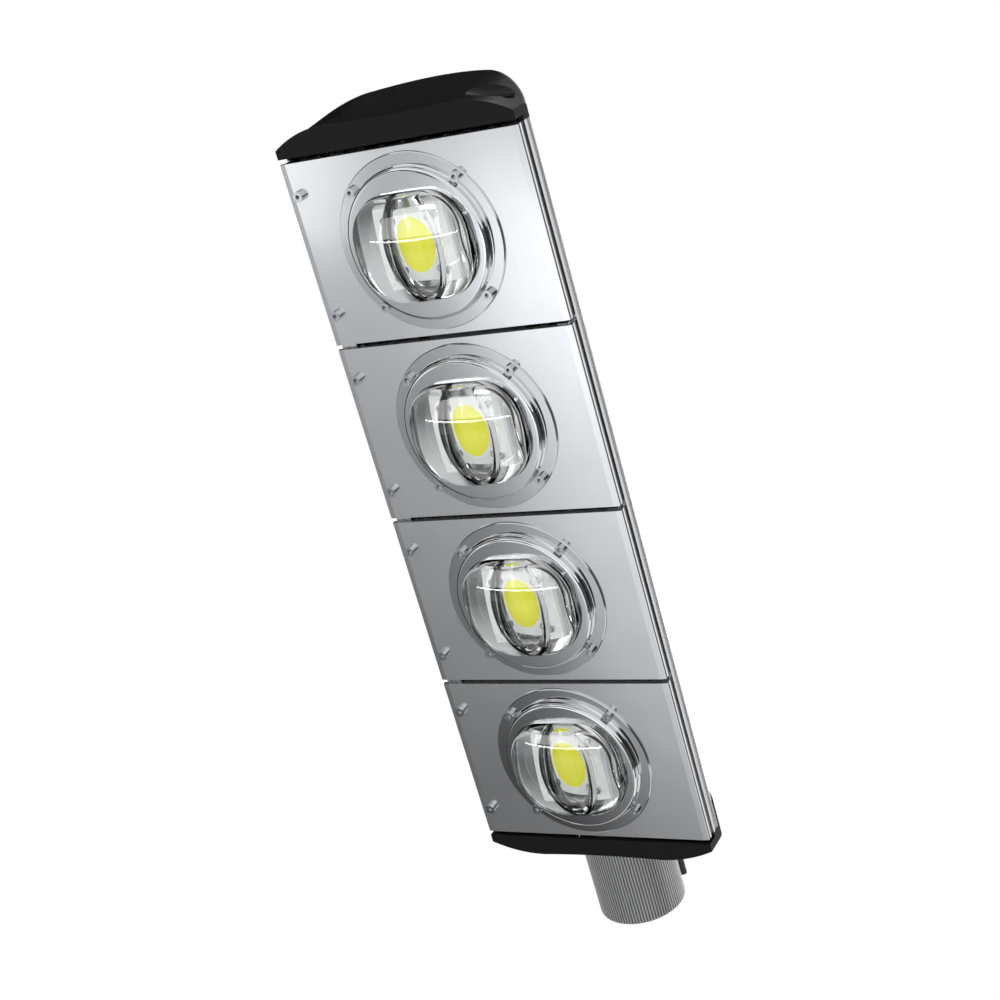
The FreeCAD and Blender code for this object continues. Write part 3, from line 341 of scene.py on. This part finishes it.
share = span(tree, parts["Y"], 0.0, 1.0, *reflectorSet["rightEdge"])
level = compute(tree, "MULTIPLY_ADD", right, share, even)
setShader(tree, glow, Color=reflectorSet["colour"],
          Strength=compute(tree, "MULTIPLY", level, reflectorSet["strength"]))
studioCard("reflector", reflectorCloth, reflectorSet["middle"], reflectorSet["size"])

# small white card at the far left end
whiteCard = {"middle": (0.31, -1.26, -1.48), "size": (0.29, 0.42), "strength": 1.3}
whiteCloth, tree, glow = glowMaterial("whiteCloth")
setShader(tree, glow, Strength=whiteCard["strength"])
studioCard("whiteReflector", whiteCloth, whiteCard["middle"], whiteCard["size"])

# black flags: dark edges in the glass, on the collars and on the caps
flagLook = {"colour": (0.02, 0.02, 0.02, 1.0), "roughness": 0.95}
flags = {
    "rightLow": {"middle": (-0.15, 1.05, -1.2), "size": (1.3, 1.2), "turn": (42, 0, 0)},
    "rightSide": {"middle": (-0.5, 1.6, -0.2), "size": (1.8, 1.1), "turn": (90, 0, 0)},
    "left": {"middle": (0.5, -1.9, 0.75), "size": (5.0, 3.5), "turn": (90, 0, 0)},
    "top": {"middle": (1.3, -1.7, 2.6), "size": (3.6, 2.4), "turn": (-35, 0, 0)},
    "rightHigh": {"middle": (-0.18, 1.12, 0.94), "size": (2.4, 0.36), "turn": (-47, 0, 0)},
    "below": {"middle": (1.2, -1.2, -1.88), "size": (1.0, 1.9)},
    "rear": {"middle": (-1.6, -0.5, 0.0), "size": (2.4, 1.4), "turn": (90, 0, 90)},
}
flagCloth, tree, shader = newMaterial("flagCloth")
setShader(tree, shader, Base_Color=flagLook["colour"],
          Roughness=flagLook["roughness"], Specular_IOR_Level=0.0)
for name, flag in flags.items():
    studioCard(name + "Flag", flagCloth, **flag)

# cards that only the glass shows: black for the dark edge of each dome, grey for its left side and hollow
glassCards = {
    "domeEdge": {"middle": (0.4, -0.95, -1.45), "size": (2.6, 0.9), "turn": (0, 0, 0)},
    "domeLeft": {"middle": (0.45, -0.15, -1.45), "size": (2.8, 0.7), "turn": (0, 0, 0)},
    "hollowEdge": {"middle": (-0.05, 0.78, -1.0), "size": (1.6, 1.1), "turn": (38, 0, 0)},
}
glassLevels = {"domeEdge": (0.0, 0.0), "domeLeft": (0.14, 0.80), "hollowEdge": (0.45, 0.75)}
glassReach = (-0.45, 0.5)  # the levels run between these places along the row
for name, card in glassCards.items():
    cloth, tree, glow = glowMaterial(name + "Cloth")
    level = span(tree, objectParts(tree)["X"], *glassLevels[name], *glassReach)
    scattered = addNode(tree, "ShaderNodeLightPath").outputs["Diffuse Depth"]
    scattered = compute(tree, "MINIMUM", scattered, 1.0)  # the boards see plain white instead
    setShader(tree, glow, Strength=compute(tree, "MAXIMUM", level, scattered))
    studioCard(name + "Card", cloth, **card, onMetal=False)
print("floor and studio cards placed")


def areaLamp(name, place, target, size, power, receivers=None):
    lamp = bpy.data.lights.new(name, "AREA")
    lamp.shape = "RECTANGLE"
    lamp.size, lamp.size_y = size
    lamp.energy = power
    lampObject = bpy.data.objects.new(name, lamp)
    lampObject.location = place
    lampObject.rotation_euler = (Vector(target) - Vector(place)).to_track_quat("-Z", "Y").to_euler()
    lampObject.visible_camera = False
    lampObject.light_linking.receiver_collection = receivers
    scene.collection.objects.link(lampObject)
    return lampObject


# soft light from above
sunSet = {"power": 2.0, "angle": 50, "turn": (20.5, -22, 0)}
sun = bpy.data.lights.new("skySoft", "SUN")
sun.energy = sunSet["power"]
sun.angle = math.radians(sunSet["angle"])
sunObject = bpy.data.objects.new("skySoft", sun)
sunObject.rotation_euler = [math.radians(a) for a in sunSet["turn"]]
scene.collection.objects.link(sunObject)

# lamps below the row: three make the glints in the glass alone, the fill lights everything
glints = {
    "frontBox": {"place": (1.18, -0.9, -1.8), "target": (1.18, -0.9, 0.0),
                 "size": (0.92, 2.6), "power": 42},
    "frontStrip": {"place": (0.62, -0.9, -1.75), "target": (0.62, -0.9, 0.0),
                   "size": (0.07, 5.2), "power": 20},
    "frontSpot": {"place": (1.65, 0.05, -1.5), "target": (1.65, 0.05, 0.0),
                  "size": (0.22, 0.5), "power": 7},
}
fillSet = {"place": (1.0, 0.65, -1.6), "target": (0.35, 0.0, 0.0), "size": (1.0, 0.8), "power": 16}
domes = bpy.data.collections.new("domes")
for name, node in nodes.items():
    if node.data.materials[0] == glass:
        domes.objects.link(node)
for name, glint in glints.items():
    areaLamp(name, **glint, receivers=domes)
areaLamp("frontFill", **fillSet).visible_glossy = False

# white all round: full for what is seen or mirrored, weaker as light
worldSet = {"colour": (1, 1, 1, 1), "seen": 1.0, "ambient": 0.5}
world = bpy.data.worlds.new("studioWhite")
scene.world = world
world.use_nodes = True
tree = world.node_tree
tree.nodes.clear()
path = addNode(tree, "ShaderNodeLightPath").outputs
seen = compute(tree, "MAXIMUM", path["Is Camera Ray"], path["Is Glossy Ray"])
seen = compute(tree, "MAXIMUM", seen, path["Is Transmission Ray"])
white = addNode(tree, "ShaderNodeBackground", {"Color": worldSet["colour"], "Strength": worldSet["seen"]})
ambient = addNode(tree, "ShaderNodeBackground", {
    "Color": worldSet["colour"], "Strength": worldSet["ambient"]})
both = addNode(tree, "ShaderNodeMixShader", {0: seen, 1: ambient.outputs[0], 2: white.outputs[0]})
addNode(tree, "ShaderNodeOutputWorld", {"Surface": both.outputs[0]})
print("lamps and white surround set")

# camera from below, at the far end's right
cameraSet = {"place": (0.8180, 0.6679, -1.0628), "back": (0.3548, 0.5096, -0.7838),
             "up": (0.8974, 0.0496, 0.4384), "lens": 69.62, "sensor": 36.0, "nearest": 0.01}
camera = bpy.data.cameras.new("camera")
camera.lens = cameraSet["lens"]
camera.sensor_width = cameraSet["sensor"]
camera.clip_start = cameraSet["nearest"]
cameraObject = bpy.data.objects.new("camera", camera)
back = Vector(cameraSet["back"]).normalized()
right = Vector(cameraSet["up"]).cross(back).normalized()
up = back.cross(right)
turn = Matrix((right, up, back)).transposed()
cameraObject.matrix_world = Matrix.Translation(cameraSet["place"]) @ turn.to_4x4()
scene.collection.objects.link(cameraObject)
scene.camera = cameraObject
scene.view_settings.view_transform = "Standard"
print("camera set")
